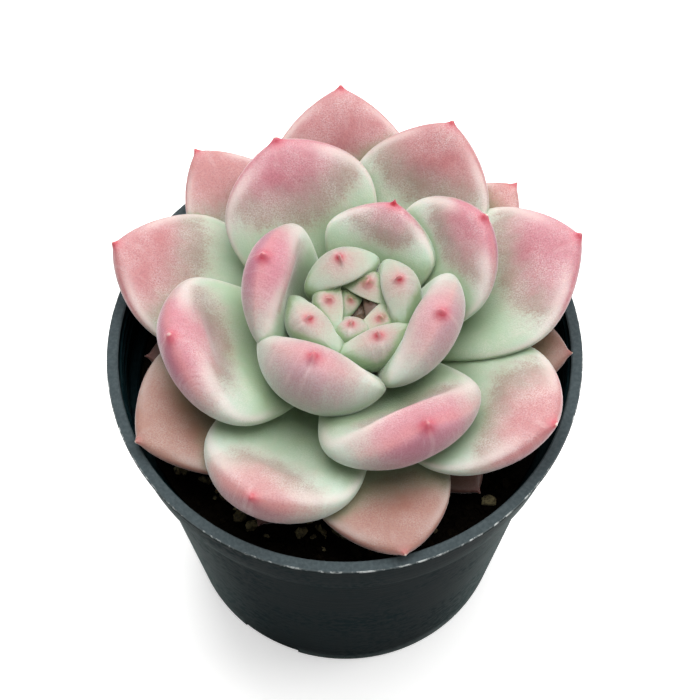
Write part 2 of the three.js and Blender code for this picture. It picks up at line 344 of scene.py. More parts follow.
cloud = skin.noise(skin_place, 110, 4)
streak = skin.noise(stretch.outputs["Vector"], 500, 3, 0.6)
speck = skin.noise(skin_place, 2800, 3, 0.7)
print("leaf skin has three patterns and", len(SKIN_LAYERS), "numbers for each point")

# %% [markdown]
# The pink spreads inwards from the point. It reaches further on pinker and older leaves and over the
# edge, and less far in the shade. Large clouds, streaks along the leaf and fine specks break it up.


# %% How far the pink has spread
def around(value, share):
    """The pattern as a push to both sides of zero."""
    return skin.times(skin.math("SUBTRACT", value, 0.5), share)


spread = skin.math("SUBTRACT", skin.times(blush, 1.05), far)
for push in (
    skin.times(elder, 0.12),
    skin.span(roll, 0.10, 0.35, 0.0, 0.15),
    skin.span(nook, 0.15, 0.60, 0.0, -0.15),
    around(cloud, 0.38),
    around(streak, 0.35),
    around(speck, 0.30),
):
    spread = skin.math("ADD", spread, push)
pinkness = skin.times(skin.span(spread, -0.62, 0.45), skin.span(blush, 0.25, 0.60, 0.55, 1.0))
print("pinkness takes", len(skin.tree.nodes), "nodes so far")

# %% [markdown]
# The green is deep at the foot, pale further out, and deeper on the youngest leaves. That deep green is
# partly the leaf's own colour and partly painted shade, for the foot and the young leaves sit deep among
# the others. The pink over it is rose on the upper face and mauve below, with darker specks and paler
# veins. Where green and pink meet on the upper face, the two colours together look brown.

# %% Green, pink and the band between them
# Partly painted shade: the foot sits deep in the rosette, so its green is painted darker.
green = skin.paint(skin.span(along, 0.05, 0.40), screen_color("869a68"), "a8bda0")
green = skin.paint(skin.span(along, 0.45, 0.85), green, "b7c9ba")
green = skin.paint(skin.span(roll, 0.35, 0.9), green, "b2c8b5")
# Partly painted shade: the youngest leaves near the heart get a darker green.
green = skin.paint(skin.span(blush, 0.10, 0.45, 0.70, 0.0), green, "8ba081")
rose = skin.paint(elder, screen_color("b8707f"), "ac7865")
mauve = skin.paint(elder, screen_color("a36679"), "8f5f4f")
pink = skin.blend(skin.span(roll, 0.45, 0.70), rose, mauve)
color = skin.blend(pinkness, green, pink)
mottle = skin.times(pinkness, skin.span(speck, 0.42, 0.66, 0.0, 0.42))
color = skin.paint(mottle, color, "8c5059")
vein = skin.times(skin.span(streak, 0.52, 0.75, 0.0, 0.24), skin.span(roll, 0.0, 0.5, 0.6, 1.0))
color = skin.paint(vein, color, "d9cdc6")
halfway = skin.times(
    skin.hump(pinkness, 0.15, 0.45, 0.45, 0.95),
    skin.span(speck, 0.34, 0.62, 0.36, 0.50),
    skin.span(blush, 0.25, 0.50, 0.2, 1.0),
    skin.span(roll, 0.15, 0.40, 1.0, 0.2),
)
color = skin.paint(halfway, color, "7d6656")
print("green and pink take", len(skin.tree.nodes), "nodes so far")

# %% [markdown]
# A pale crest runs round just inside the edge, partly bloom and partly a painted highlight where the
# edge faces up to the lamps. Below, a faint line marks the keel, and the skin is warmest where it turns
# under. The bloom lies over all this as a white powder, mostly on top.

# %% Crest, keel and bloom
# Partly painted highlight: the pale crest brightens the edge where it turns up towards the light.
crest_and_highlight = skin.times(
    skin.hump(roll, 0.07, 0.20, 0.24, 0.42),
    skin.span(along, 0.30, 0.60, 0.0, 0.50),
    skin.span(speck, 0.05, 0.50),
    skin.span(far, 0.25, 0.75, 0.1, 1.0),
    skin.span(blush, 0.25, 0.50, 0.3, 1.0),
)
color = skin.paint(crest_and_highlight, color, "d8cbc6")
map_axes = skin.add("ShaderNodeSeparateXYZ")
skin.join(skin_map, map_axes.inputs["Vector"])
sideways = skin.math("ABSOLUTE", skin.math("ADD", map_axes.outputs["X"], around(cloud, 0.003)))
keel_line = skin.times(
    skin.span(sideways, 0.0001, 0.0006, 1.0, 0.0),
    skin.span(roll, 0.5, 0.6),
    skin.span(far, 0.2, 1.0, 0.12, 0.0),
)
color = skin.paint(keel_line, color, "e6d9cf")
turned_edge = skin.times(skin.hump(roll, 0.38, 0.50, 0.50, 0.62), pinkness, 0.22)
color = skin.paint(turned_edge, color, "c3827c")
bloom = skin.times(
    powder(skin, skin_place, 160, 4200, 0.42),
    skin.span(roll, 0.25, 0.50, 1.0, 0.2),
    skin.span(blush, 0.25, 0.50, 0.5, 1.0),
)
color = skin.paint(bloom, color, "dcd4d0")
print("with crest and bloom the skin has", len(skin.tree.nodes), "nodes")

# %% [markdown]
# The point is dark red in a soft red halo, which is tighter on the palest leaves, and sunlit leaves
# have a small dry scar at the very end. Crevices get a painted shade of deep green. The oldest leaves
# turn brown, and the darkest brown is painted shade on the low shaded leaves and in the heart's core.

# %% Red points, crevices and age
young = skin.span(elder, 0.0, 0.8, 1.0, 0.35)
tightness = skin.span(blush, 0.25, 0.50, 2.6, 2.0)
color = skin.paint(skin.times(skin.math("POWER", point, tightness), 0.90, young), color, "c0445a")
color = skin.paint(skin.times(skin.span(point, 0.80, 1.0, 0.0, 0.95), young), color, "b01f30")
# Painted shade: points that have lost much of their sky to other leaves are painted a deep green.
painted_crevice_shade = skin.times(skin.span(nook, 0.12, 0.55), skin.span(blush, 0.25, 0.45, 0.72, 0.45))
color = skin.paint(painted_crevice_shade, color, "738a5c")
scar = skin.times(skin.span(along, 0.9980, 0.9997), skin.span(blush, 0.5, 0.7))
color = skin.paint(scar, color, "ded6cb")
# Partly painted shade: older leaves turn brown, and the low shaded leaves and the heart's core are painted
# darker brown.
color = skin.paint(skin.span(elder, 0.65, 0.85, 0.0, 0.45), color, "745c49")
color = skin.paint(skin.span(elder, 0.9, 1.0, 0.0, 0.75), color, "4f2f2a")
skin.join(color, skin.shader.inputs["Base Color"])
print("with its points and crevices the skin has", len(skin.tree.nodes), "nodes")

# %% [markdown]
# The skin is dullest where the bloom lies thick. Light goes a little way into the juicy flesh, and a
# sheen stands for the fine powder that shows at a slant. Specks and streaks give it a low relief.

# %% Leaf gloss and relief
skin.join(skin.span(bloom, 0.0, 0.6, 0.40, 0.60), skin.shader.inputs["Roughness"])
skin.fix({"Subsurface Weight": 0.3, "Subsurface Radius": (1.0, 0.6, 0.4), "Subsurface Scale": 0.0015})
skin.fix({"Sheen Weight": 0.55, "Sheen Roughness": 0.35, "Specular IOR Level": 0.45})
skin.bump(skin.math("ADD", speck, skin.times(streak, 0.6)), 0.45, 0.00025)
print("leaf skin has", len(skin.tree.nodes), "nodes")

# %% [markdown]
# ## The shape of a leaf
# A leaf starts as a ball. Its poles become the foot and the tip, and each ring of the ball becomes a
# cross-section that is set across a curved midrib. The underside runs smoothly up to the point. The
# upper side stays thick for longer and breaks off at a crest, so the point sits below that crest.

# %% The curve and section rules of a leaf
WIDEST_AT = 0.62
NECK_WIDTH = 0.42
THICKEST_AT = 0.66
NECK_THICKNESS = 0.4
CHANNEL_DEPTH = 0.35
CUPPING = 0.15
UNDER_BLUNT = 2.8
END_ROUNDNESS = 0.55
EDGE_FULLNESS = 0.9
ROOT_SHARE = 0.05
POINT_SHARE = 0.010
POINT_LENGTH = 1.3
LUMP_HEIGHT = 0.28


def outline(s, taper):
    """The half width at s along the leaf, as a share of the widest."""
    if s < WIDEST_AT:
        return NECK_WIDTH + (1 - NECK_WIDTH) * math.sin(math.pi / 2 * s / WIDEST_AT) ** 1.4
    t = clamp01((s - WIDEST_AT) / (1 - WIDEST_AT))
    return (1 - t ** mix(2.2, 1.5, taper)) ** mix(0.7, 0.95, taper)


def plumpness(s, blunt):
    """The thickness at s along the leaf, as a share of the thickest."""
    if s < THICKEST_AT:
        rise = math.sin(math.pi / 2 * s / THICKEST_AT) ** 1.3
        return NECK_THICKNESS + (1 - NECK_THICKNESS) * rise
    return (1 - clamp01((s - THICKEST_AT) / (1 - THICKEST_AT)) ** blunt) ** END_ROUNDNESS


for share in (0, 0.3, 0.62, 0.9):
    print("at", share, "width", round(outline(share, 0), 2), "upper", round(plumpness(share, 5), 2))

# %% [markdown]
# The stem leans a little towards the viewer, so each leaf starts from a slightly different middle. The
# midrib leaves the stem at one slope and ends at another: low leaves lie nearly flat, and the ones near
# the heart rise steeply and hook inwards.

# %% The stem's middle line and a leaf's midrib
STEM_FOOT = Vector((-1.4, 5.9, 62))
STEM_TOP = Vector((2.5, 3.3, 96))
GAP = 0.35


def stem_centre(z):
    return STEM_FOOT.lerp(STEM_TOP, (z - STEM_FOOT.z) / (STEM_TOP.z - STEM_FOOT.z))


def stem_radius(z):
    return mix(6, 2.4, clamp01((z - STEM_FOOT.z) / (STEM_TOP.z - STEM_FOOT.z)))


def midrib(leaf):
    """The four points of the leaf's curved middle line, its side direction and its length."""
    turn = math.radians(leaf["azimuth"])
    out = Vector((math.cos(turn), math.sin(turn), 0))
    side = Vector((-math.sin(turn), math.cos(turn), 0))
    centre = stem_centre(leaf["foot"])
    start = centre + out * leaf.get("root", stem_radius(leaf["foot"]) + GAP)
    tip = centre + out * leaf["reach"]
    tip.z = leaf["tip"]
    length = (tip - start).length

    def slope(degrees):
        angle = math.radians(degrees)
        return out * math.cos(angle) + Vector((0, 0, math.sin(angle)))

    bow = side * leaf.get("bow", 0)
    first = start + slope(leaf["lift"]) * 0.38 * length + bow
    last = tip - slope(leaf["curl"]) * 0.34 * length + bow
    return (start, first, last, tip), side, length


def on_curve(points, s):
    """The place and heading at s along a curve through four control points."""
    a, b, c, d = points
    r = 1 - s
    place = a * r**3 + b * 3 * r * r * s + c * 3 * r * s * s + d * s**3
    heading = (b - a) * r * r + (c - b) * 2 * r * s + (d - c) * s * s
    return place, heading.normalized()


# %% A point of the leaf from its place on the ball
def leaf_point(leaf, curve, side, s, across, above):
    """The point at s along the leaf, where across and above give its place on the ring."""
    half, full, share = leaf["width"] / 2, leaf["thick"], leaf["upper"]
    root = math.sqrt(clamp01(1 - (1 - clamp01(s / ROOT_SHARE)) ** 2))
    x = math.copysign(abs(across) ** EDGE_FULLNESS, across) * outline(s, leaf["taper"]) * root
    place, heading = on_curve(curve, s)
    over = heading.cross(side)
    if above >= 0:
        hollow = math.exp(-((x / 0.5) ** 2)) * clamp01(1 - (s / 0.8) ** 3)
        dip = leaf.get("dip", CHANNEL_DEPTH) * full * hollow
        thick = full * plumpness(s, leaf["blunt"]) * root
        height = share * thick * above ** leaf["keen"] - dip * root * above
    else:
        thick = full * plumpness(s, UNDER_BLUNT) * root
        height = -(1 - share) * thick * (-above) ** leaf["keen"]
    height += CUPPING * x * x * half * (0.25 + 0.75 * math.sin(math.pi * 0.95 * s))
    spike = clamp01(1 - (1 - s) / POINT_SHARE) ** 1.6
    place = place + side * (x * half * (1 - 0.35 * spike)) + over * height
    upwards = (heading + Vector((0, 0, leaf.get("hook", 1.2)))).normalized()
    spine = POINT_LENGTH * leaf.get("spine", 1) * min(1.0, half / 9)
    return place + upwards * (spine * spike), heading, over


# %% [markdown]
# The ball's rings are moved to their places on the leaf, and its surface gets a few shallow lumps, as
# living skin has. Each point keeps the numbers that the skin's colours are made from.


# %% Draw a ball out into a leaf
def leaf_piece(name, leaf, node, sides=60, rings=46):
    """A ball drawn out into the leaf, with the skin's numbers on its points."""
    curve, side, length = midrib(leaf)
    half = leaf["width"] / 2
    bm = bmesh.new()
    layers = {key: bm.verts.layers.float.new(key) for key in SKIN_LAYERS}
    map_layer = bm.loops.layers.uv.new("skin")
    bmesh.ops.create_uvsphere(bm, u_segments=sides, v_segments=rings, radius=1)
    frames = {}
    for vert in bm.verts:
        s = clamp01((1 + vert.co.z) / 2)
        girth = math.sqrt(max(0.0, 1 - vert.co.z**2))
        across = vert.co.x / girth if girth > 1e-6 else 0.0
        above = vert.co.y / girth if girth > 1e-6 else 0.0
        place, heading, over = leaf_point(leaf, curve, side, s, across, above)
        outward = side * across + heading * (2.5 * clamp01((s - 0.55) / 0.45) + 0.01)
        wobble = noise.noise(place * 0.11 + Vector((leaf["azimuth"], 0, 0)))
        place += over * (LUMP_HEIGHT * wobble * min(1.0, half / 12) * plumpness(s, UNDER_BLUNT))
        frames[vert] = (over, outward.normalized(), across * outline(s, 0) * half * MM, s * length * MM)
        off = (place - curve[3]).length
        vert.co = place * MM
        vert[layers["along"]] = s
        vert[layers["blush"]] = leaf["blush"]
        vert[layers["elder"]] = leaf["elder"]
        vert[layers["far"]] = off / half
        vert[layers["point"]] = clamp01(1.2 - off / (2.3 * min(1.0, half / 11) + 0.4))
    bm.normal_update()
    for vert, (over, outward, u, v) in frames.items():
        facing = max(-1.0, min(1.0, vert.normal.dot(over)))
        angle = math.acos(facing) / math.pi
        inward = facing > 0 and vert.normal.dot(outward) < 0
        vert[layers["roll"]] = -angle if inward else angle
    for face in bm.faces:
        for loop in face.loops:
            loop[map_layer].uv = frames[loop.vert][2:]
    piece = piece_from(bm, name, skin.material)
    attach(piece, "root")
    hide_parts(node)


# %% [markdown]
# ## The rosette
# Each leaf stands 137.5 degrees further round than the last and a little lower, which is how such a
# rosette grows. Real leaves push each other aside, so every leaf also has a small turn of its own. The
# list runs from the youngest leaf to the oldest.

# %% The tiers of the rosette
CROWN = {"thick": 8.5, "lift": 55, "curl": 106, "upper": 0.62, "keen": 1.4, "blunt": 6, "taper": 0.3}
CUP = {"thick": 10.5, "lift": 34, "curl": 92, "upper": 0.54, "keen": 1.25, "blunt": 4.5, "taper": 0.2}
BOWL = {"thick": 10, "lift": 18, "curl": 75, "upper": 0.48, "keen": 1.05, "blunt": 3.6, "taper": 0.1}
FLAT = {"upper": 0.42, "keen": 0.95, "blunt": 2.8, "taper": 0.4, "spine": 0.7}
SKIRT = FLAT | {"hook": 0.4, "thick": 9, "lift": 10, "curl": 40}
LOW = FLAT | {"hook": 0.2, "thick": 6.5, "lift": 5, "curl": 20}
SHADED = FLAT | {"hook": 0, "thick": 5, "lift": 0, "curl": 10}
# The age number of each tier also paints shade: near its top it turns the leaves dark brown.
CROWN |= {"blush": 0.25, "elder": 0.0}
CUP |= {"blush": 0.45, "elder": 0.0}
BOWL |= {"blush": 0.70, "elder": 0.1}
SKIRT |= {"blush": 0.85, "elder": 0.4}
LOW |= {"blush": 1.0, "elder": 0.6}
SHADED |= {"blush": 1.0, "elder": 1.0}
print("six tiers of leaves")

# %% The leaves
LEAVES = [
    CROWN | {"turn": -2, "reach": 7.8, "above": 21, "width": 17},
    CROWN | {"turn": 7, "reach": 6.1, "above": 17, "width": 13, "thick": 7, "upper": 0.42},
    CROWN | {"turn": -20, "reach": 9.2, "above": 21, "width": 17, "bow": -1, "upper": 0.5},
    CROWN | {"turn": 48, "reach": 11.6, "above": 21, "width": 18, "upper": 0.5},
    CROWN | {"turn": -13, "reach": 11.5, "above": 20, "width": 20, "upper": 0.42},
    CUP | {"turn": -17.5, "reach": 21.6, "above": 20.2, "width": 24, "thick": 6.5, "lift": 40}
    | {"curl": 55, "upper": 0.42, "keen": 1.0, "blunt": 2.4, "taper": 0.5, "dip": 0.2, "blush": 0.5},
    CUP | {"turn": 23, "reach": 19, "above": 24, "width": 28, "thick": 13, "lift": 5, "curl": 100}
    | {"upper": 0.38},
    CUP | {"turn": -25, "reach": 19.5, "above": 25, "width": 28, "bow": -1.2},
    CUP | {"turn": 28, "reach": 18.6, "above": 25, "width": 29, "bow": 1.5, "blush": 0.55},
    BOWL | {"turn": 21, "reach": 33.5, "above": 19, "width": 34, "thick": 12, "curl": 96, "bow": -3}
    | {"upper": 0.55, "blush": 0.55},
    BOWL | {"turn": -25, "reach": 30.5, "above": 24, "width": 28, "thick": 8, "lift": 30}
    | {"curl": 60, "blunt": 2.8, "dip": 0.25, "blush": 0.65},
    BOWL | {"turn": 7, "reach": 38, "above": 20, "width": 35, "thick": 11, "bow": 2, "blush": 0.6},
    SKIRT | {"turn": -1, "reach": 48.5, "above": 12, "width": 34, "lift": -3, "curl": 35, "bow": -3}
    | {"taper": 0, "blush": 0.65},
    BOWL | {"turn": 10, "reach": 37, "above": 22, "width": 33, "thick": 8, "curl": 50, "blunt": 2.6}
    | {"dip": 0.25, "blush": 0.8},
    SKIRT | {"turn": 3, "reach": 47, "above": 12, "width": 33, "thick": 11, "curl": 60, "bow": 0.8}
    | {"taper": 0, "blush": 0.5},
    BOWL | {"turn": -4, "reach": 49, "above": 17, "width": 33, "thick": 8, "lift": 22, "curl": 42}
    | {"blunt": 2.6, "taper": 0.4, "dip": 0.25, "bow": -2, "blush": 0.9},
    SKIRT | {"turn": 6, "reach": 51, "above": 12, "width": 31, "thick": 8, "blush": 0.95},
    LOW | {"turn": -13, "reach": 52, "above": 3, "width": 29, "thick": 7, "bow": -2, "taper": 0.2}
    | {"elder": 0.8},
    SKIRT | {"turn": -11, "reach": 45, "above": 19, "width": 31, "thick": 8, "curl": 48},
    LOW | {"turn": 2, "reach": 50.5, "above": 3.5, "width": 33, "thick": 7, "elder": 0.85},
    LOW | {"turn": 4, "reach": 46, "above": 3.5, "width": 24, "elder": 0.95},
    LOW | {"turn": 5, "reach": 50.5, "above": 9, "width": 25, "curl": 28, "elder": 0.5},
    SHADED | {"turn": -16, "reach": 45, "above": -5, "width": 20},
    LOW | {"turn": 1, "reach": 47, "above": 8, "width": 22, "curl": 28},
    SHADED | {"turn": 7, "reach": 42, "above": -5, "width": 20},
    SHADED | {"turn": -7, "reach": 43.5, "above": -5, "width": 18},
    SKIRT | {"turn": -1, "reach": 51.3, "above": 14, "width": 32, "thick": 7, "curl": 38}
    | {"blush": 1.0, "elder": 0.4},
]
FIRST_TURN = 117.5
GOLDEN_ANGLE = 137.5
TOP_FOOT = 94
FOOT_STEP = 16 / 26
for number, leaf in enumerate(LEAVES):
    leaf["azimuth"] = FIRST_TURN + GOLDEN_ANGLE * number + leaf["turn"]
    leaf["foot"] = TOP_FOOT - FOOT_STEP * number
    leaf["tip"] = POT_HEIGHT + leaf["above"]
    leaf["slot"] = "young_leaf" if number < 5 else "leaf"
    node = f"leaf_{number + 1:02d}"
    leaf_piece(node + "_skin", leaf, node)
print(len(LEAVES), "leaves placed")

# %% [markdown]
# ## The heart
# In the middle the newest leaves are folded tightly round the growing bud. They carry the same spiral
# on inwards, much smaller, and two of them and the bud are brown, partly their own colour and partly a
# painted shade of the deep core. One solid holds them all, so all these pieces stand for that solid.

# %% Heart leaves
HEART_LEAVES = [
    {"n": -1, "turn": -22, "reach": 6.3, "above": 16.5, "width": 15, "elder": 0.1},
    {"n": -2, "turn": -17, "reach": 5.9, "above": 17.5, "width": 16, "elder": 0.1},
    {"n": -3, "turn": -4, "reach": 4.2, "above": 17, "width": 17, "elder": 0.1},
    {"n": -4, "turn": 0, "reach": 2.6, "above": 13, "width": 8, "elder": 1.0},
    {"n": -5, "turn": -1, "reach": 1.8, "above": 15, "width": 12, "elder": 0.1},
    {"n": -6, "turn": -8, "reach": 2.8, "above": 15, "width": 10, "elder": 1.0},
]
FOLDED = CROWN | {"lift": 60, "root": 1.6, "upper": 0.45, "blush": 0.12}
for row in HEART_LEAVES:
    leaf = FOLDED | row
    leaf["thick"] = 0.42 * leaf["width"]
    leaf["azimuth"] = FIRST_TURN + GOLDEN_ANGLE * leaf["n"] + leaf["turn"]
    leaf["foot"] = STEM_TOP.z + 0.8 - 0.3 * leaf["n"]
    leaf["tip"] = POT_HEIGHT + leaf["above"]
    leaf["slot"] = "young_leaf"
    leaf_piece(f"heart_leaf_{-leaf['n']}", leaf, "heart", sides=36, rings=30)
print(len(HEART_LEAVES), "heart leaves placed")

# %% The bud at the top of the stem
BUD_RADIUS = 3.4
BUD_HEIGHT = 2.6
BUD_SKIN = {"roll": 0.8, "far": 0.4, "blush": 0.6, "elder": 0.96}
bm = bmesh.new()
bmesh.ops.create_uvsphere(bm, u_segments=32, v_segments=24, radius=1)
bud_layers = {key: bm.verts.layers.float.new(key) for key in SKIN_LAYERS}
bud_centre = stem_centre(STEM_TOP.z + 2)
for vert in bm.verts:
    vert[bud_layers["along"]] = clamp01(0.3 + 0.5 * vert.co.z)
    for key, value in BUD_SKIN.items():
        vert[bud_layers[key]] = value
    ridge_turn = math.cos(3 * math.atan2(vert.co.y, vert.co.x))
    wide = BUD_RADIUS * (1 + 0.06 * ridge_turn * (1 - abs(vert.co.z)))
    vert.co = (Vector((wide * vert.co.x, wide * vert.co.y, BUD_HEIGHT * vert.co.z)) + bud_centre) * MM
bud = piece_from(bm, "bud", skin.material)
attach(bud, "root")
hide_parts("heart")
print("bud at", [round(v, 1) for v in bud_centre], "mm")

# %% [markdown]
# The blush only comes where the sun reaches, and between the leaves a painted shade of deep green
# darkens the skin. So each point of the rosette needs to know how much of its sky the other leaves
# cover. Rays are sent out from every point over its own half of the sky, and the near hits are counted.

# %% How much of the sky each point has lost
SKY_REACH = 14 * MM
SKY_RAYS = 14
SKY_START = 0.25 * MM
rosette = [ob for ob in bpy.data.objects if ob.type == "MESH" and "nook" in ob.data.attributes]
corners, polygons = [], []
for ob in rosette:
    first = len(corners)
    corners += [vert.co.copy() for vert in ob.data.vertices]
    polygons += [[first + i for i in face.vertices] for face in ob.data.polygons]
canopy = BVHTree.FromPolygons(corners, polygons)
directions = []
for i in range(SKY_RAYS):
    rise = math.sqrt(1 - (i + 0.5) / SKY_RAYS)
    turn = i * math.radians(GOLDEN_ANGLE)
    flat = math.sqrt(1 - rise * rise)
    directions.append(Vector((flat * math.cos(turn), flat * math.sin(turn), rise)))

for ob in rosette:
    values = []
    for vert in ob.data.vertices:
        face_sky = vert.normal.to_track_quat("Z", "Y")
        start = vert.co + vert.normal * SKY_START
        lost = 0.0
        for direction in directions:
            hit = canopy.ray_cast(start, face_sky @ direction, SKY_REACH)
            if hit[0] is not None:
                lost += 1 - hit[3] / SKY_REACH
        values.append(lost / SKY_RAYS)
    ob.data.attributes["nook"].data.foreach_set("value", values)
    if ob.name in ("leaf_01_skin", "leaf_13_skin"):
        print(ob.name, "has lost", round(sum(values) / len(values), 2), "of its sky")

# %% [markdown]
# ## The stem
# Only slivers of the stem show between the leaves and the soil. The solid already has its shape, so it
# stays and gets a dry, fibrous bark.

# %% Stem bark
bark = Finish("stem_bark")
bark_place = bark.add("ShaderNodeTexCoord").outputs["Object"]
bark_rings = bark.add("ShaderNodeMapping")
bark_rings.inputs["Scale"].default_value = (1.0, 1.0, 3.0)
bark.join(bark_place, bark_rings.inputs["Vector"])
fibre = bark.noise(bark_rings.outputs["Vector"], 500, 5, 0.65)
bark_color = bark.paint(fibre, screen_color("5d4a35"), "a8946f")
bark.join(bark_color, bark.shader.inputs["Base Color"])
bark.fix({"Roughness": 0.85})
bark.bump(fibre, 0.5, 0.0004)
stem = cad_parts["stem"]
stem.data.materials.clear()
stem.data.materials.append(bark.material)
print("stem is", round(stem.dimensions.z / MM, 1), "mm tall")

# %% [markdown]
# ## The soil
# The mix is near black and crumbly. A smooth lumpy top would look like felt, so the top is covered with
# a few thousand small faceted crumbs, each sunk into the mix, and with paler grains of grit.

# %% Soil finishes
soil_finish = Finish("potting_mix")
soil_place = soil_finish.add("ShaderNodeTexCoord").outputs["Object"]
soil_tone = soil_finish.attribute("tone")
soil_grain = soil_finish.noise(soil_place, 900, 5, 0.7)
soil_color = soil_finish.paint(soil_grain, screen_color("050403"), "130e0a")
soil_color = soil_finish.paint(soil_tone, soil_color, "1c160e")
soil_dust = powder(soil_finish, soil_place, 90, 1200, 0.2)
soil_color = soil_finish.paint(soil_dust, soil_color, "262116")
soil_finish.join(soil_color, soil_finish.shader.inputs["Base Color"])
soil_finish.fix({"Roughness": 0.95, "Specular IOR Level": 0.02})
soil_finish.bump(soil_grain, 0.8, 0.0006)

grit_finish = Finish("pale_grit")
grit_place = grit_finish.add("ShaderNodeTexCoord").outputs["Object"]
grit_tone = grit_finish.attribute("tone")
grit_pits = grit_finish.noise(grit_place, 1100, 4, 0.7)
grit_color = grit_finish.paint(grit_tone, screen_color("6f6544"), "aa9f74")
grit_color = grit_finish.blend(grit_finish.span(grit_pits, 0.3, 0.6), screen_color("352e1e"), grit_color)
grit_finish.join(grit_color, grit_finish.shader.inputs["Base Color"])
grit_finish.fix({"Roughness": 0.9})
grit_finish.bump(grit_pits, 0.8, 0.0005)
print("soil and grit finishes ready")

# %% [markdown]
# The body of the soil fills the pot up to its top. It is a ball whose upper part is laid out flat as
# the lumpy top, and whose lower part is drawn down along the wall and in under the middle.

# %% The pot's hollow and the soil's top
SOIL_TOP = 73.4
SOIL_GAP = 0.3
FLOOR = 1.6
SKIRT_DROP = 15
BASE_RADIUS = 36.2
WAIST_RADIUS = 45
WALL = 1.1
LEDGE_Z = POT_HEIGHT - SKIRT_DROP + WALL


def pot_inside(z):
    """The radius of the pot's inner wall at the height z."""
    t = (z - FLOOR) / (LEDGE_Z - FLOOR)
    return mix(BASE_RADIUS - WALL, WAIST_RADIUS - WALL, t)


def soil_height(x, y):
    """The height of the lumpy top, the same as the solid's."""
    lump = math.sin(0.37 * x + 1) * math.cos(0.31 * y) + 0.6 * math.sin(0.83 * y + 0.6 * x)
    return SOIL_TOP + 1.1 * lump


print("at the soil the pot is", round(pot_inside(SOIL_TOP), 1), "mm from middle to wall")


# %% Draw a ball out into the soil
def soil_spot(theta, turn):
    """A point of the soil's skin: over the top, down the side, then under to the middle."""
    top, q = pot_inside(SOIL_TOP) - SOIL_GAP, theta / math.pi
    if q < 0.6:
        r = top * q / 0.6
        x, y = r * math.cos(turn), r * math.sin(turn)
        rough = 0.5 * noise.noise(Vector((x * 0.9, y * 0.9, 3)))
        return Vector((x, y, soil_height(x, y) + rough))
    if q < 0.8:
        z = mix(SOIL_TOP, FLOOR + SOIL_GAP, (q - 0.6) / 0.2)
        r = pot_inside(z) - SOIL_GAP
    else:
        z = FLOOR + SOIL_GAP
        r = (pot_inside(FLOOR) - SOIL_GAP) * (1 - q) / 0.2
    return Vector((r * math.cos(turn), r * math.sin(turn), z))


bm = bmesh.new()
bm.verts.layers.float.new("tone")
bmesh.ops.create_uvsphere(bm, u_segments=128, v_segments=90, radius=1)
for vert in bm.verts:
    theta = math.acos(max(-1.0, min(1.0, vert.co.z)))
    vert.co = soil_spot(theta, math.atan2(vert.co.y, vert.co.x)) * MM
print("soil skin has", len(bm.faces), "faces")


# %% [markdown]
# Crumbs lie everywhere, and the paler grit lies mostly in clumps near the wall, as it does where water
# has washed it together. The grains are made in small batches, because a large bmesh slows down.

# %% Scatter crumbs and grit over it
BATCH = 80
WALL_SPARE = 0.8
IN_CLUMPS = 0.85
CLUMP_ACROSS = 1.8
CLUMP_ALONG = 2.2


def scatter(bm, count, sizes, seed, detail, sink, tones, clumps=0):
    """Add grains of mixed sizes, in millimetres, sunk into the soil by the share sink."""
    draw = random.Random(seed)
    top = pot_inside(SOIL_TOP) - WALL_SPARE
    middles = [(mix(0.66, 0.95, draw.random()) * top, draw.uniform(0, 2 * math.pi)) for _ in range(clumps)]
    heap = bpy.data.meshes.new("heap")
    for first in range(0, count, BATCH):
        batch = bmesh.new()
        layer = batch.verts.layers.float.new("tone")
        for _ in range(first, min(count, first + BATCH)):
            size = mix(*sizes, draw.random() ** 2)
            r = (top - size) * math.sqrt(mix(0.02, 1, draw.random()))
            turn = draw.uniform(0, 2 * math.pi)
            if middles and draw.random() < IN_CLUMPS:
                r, turn = draw.choice(middles)
                r = min(top - size, r + draw.gauss(0, CLUMP_ACROSS))
                turn += draw.gauss(0, CLUMP_ALONG) / r
            x, y = r * math.cos(turn), r * math.sin(turn)
            rise = size * (1 - 2 * sink) * draw.uniform(0.6, 1.1)
            spot = Vector((x, y, soil_height(x, y) + rise)) * MM
            axis = Vector((draw.random(), draw.random(), 1))
            spin = Matrix.Rotation(draw.uniform(0, 2 * math.pi), 4, axis)
            squash = Matrix.Diagonal((1, draw.uniform(0.55, 1), draw.uniform(0.5, 0.85), 1))
            place = Matrix.Translation(spot) @ spin @ squash
            grain = bmesh.ops.create_icosphere(
                batch, subdivisions=detail, radius=size * MM, matrix=place
            )
            tone = mix(*tones, draw.random() ** 2)
            for vert in grain["verts"]:
                shake = Vector(draw.uniform(-1, 1) for _ in range(3))
                vert.co += shake * size * MM * 0.2
                vert[layer] = tone
        batch.to_mesh(heap)
        batch.free()
        bm.from_mesh(heap)
    bpy.data.meshes.remove(heap)


scatter(bm, 3200, (0.3, 1.5), seed=5, detail=1, sink=0.35, tones=(0.0, 0.8))
soil = piece_from(bm, "soil_crumbs", soil_finish.material, smooth=False)
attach(soil, "root")
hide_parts("soil")

bm = bmesh.new()
bm.verts.layers.float.new("tone")
scatter(bm, 360, (0.6, 2.1), seed=23, detail=2, sink=0.2, tones=(0.0, 1.0), clumps=26)
grit = piece_from(bm, "soil_grit", grit_finish.material)
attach(grit, "root")
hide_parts("soil")
print("crumbs", len(soil.data.polygons), "grit", len(grit.data.polygons), "faces")

# %% [markdown]
# ## The pot
# A nursery pot is one thin moulding. Its wall tapers to the foot, steps out into a deep skirt so that
# pots can be stacked, and ends in a flat lip that gets scuffed pale along its outer edge. The profile is
# drawn once, as a line from the middle of the floor round to the middle of the floor inside, and spun
# round the axis.

# %% The outside of the pot as a line
LIP_WIDTH = 2.4
LIP_THICKNESS = 1.1
SKIRT_TOP_RADIUS = 48.8
SKIRT_FOOT_RADIUS = 47.1
lip_inner = RIM_RADIUS - LIP_WIDTH
skirt_z = POT_HEIGHT - SKIRT_DROP

